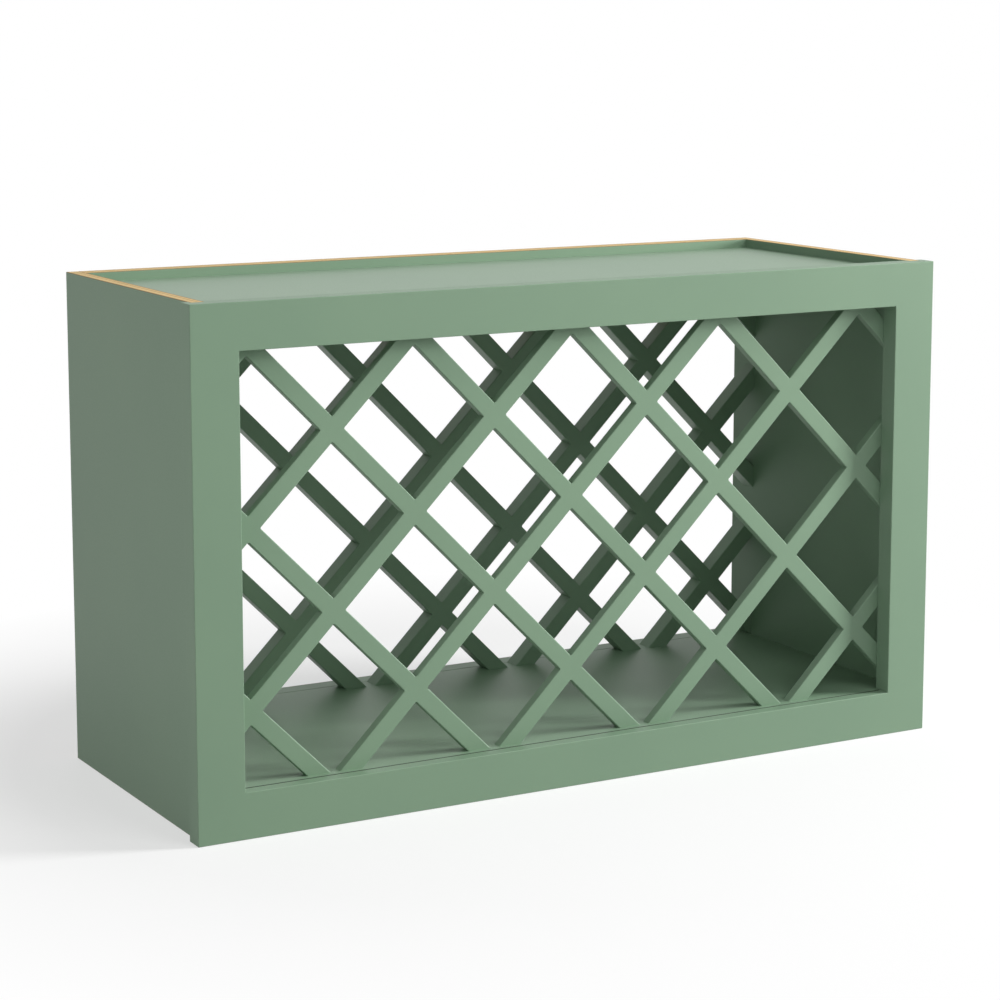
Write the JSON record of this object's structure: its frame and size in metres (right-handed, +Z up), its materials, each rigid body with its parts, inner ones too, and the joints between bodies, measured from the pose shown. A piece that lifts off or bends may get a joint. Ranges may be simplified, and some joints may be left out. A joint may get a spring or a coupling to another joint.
{
  "type": "wine rack cabinet",
  "caption": "Open wall cabinet with a face frame, a recessed top and half-lapped diamond lattices at its front and back that hold bottles lying down.",
  "frame": {"origin": "centre of the cabinet's footprint, on the surface it stands on", "axes": "+X to the cabinet's right as seen from the front, +Y from the front to the wall, +Z up"},
  "size_m": [0.762, 0.3048, 0.4572],
  "materials": {
    "frame_paint": "satin sage green paint",
    "panel_paint": "satin sage green paint on plywood, bare on the top edges",
    "lattice_paint": "satin sage green paint",
    "dowel_wood": "bare beech"
  },
  "bodies": {
    "root": {"left_stile": "frame_paint", "right_stile": "frame_paint", "top_rail": "frame_paint", "bottom_rail": "frame_paint", "left_side_panel": "panel_paint", "right_side_panel": "panel_paint", "top_panel": "panel_paint", "bottom_panel": "panel_paint", "hanging_rail": "panel_paint", "base_rail": "panel_paint", "frame_dowels": "dowel_wood", "back_rail_dowels": "dowel_wood", "front_rising_slat_1": "lattice_paint", "front_rising_slat_2": "lattice_paint", "front_rising_slat_3": "lattice_paint", "front_rising_slat_4": "lattice_paint", "front_rising_slat_5": "lattice_paint", "front_rising_slat_6": "lattice_paint", "front_rising_slat_7": "lattice_paint", "front_falling_slat_1": "lattice_paint", "front_falling_slat_2": "lattice_paint", "front_falling_slat_3": "lattice_paint", "front_falling_slat_4": "lattice_paint", "front_falling_slat_5": "lattice_paint", "front_falling_slat_6": "lattice_paint", "front_falling_slat_7": "lattice_paint", "rear_rising_slat_1": "lattice_paint", "rear_rising_slat_2": "lattice_paint", "rear_rising_slat_3": "lattice_paint", "rear_rising_slat_4": "lattice_paint", "rear_rising_slat_5": "lattice_paint", "rear_rising_slat_6": "lattice_paint", "rear_rising_slat_7": "lattice_paint", "rear_falling_slat_1": "lattice_paint", "rear_falling_slat_2": "lattice_paint", "rear_falling_slat_3": "lattice_paint", "rear_falling_slat_4": "lattice_paint", "rear_falling_slat_5": "lattice_paint", "rear_falling_slat_6": "lattice_paint", "rear_falling_slat_7": "lattice_paint"}
  },
  "joints": []
}
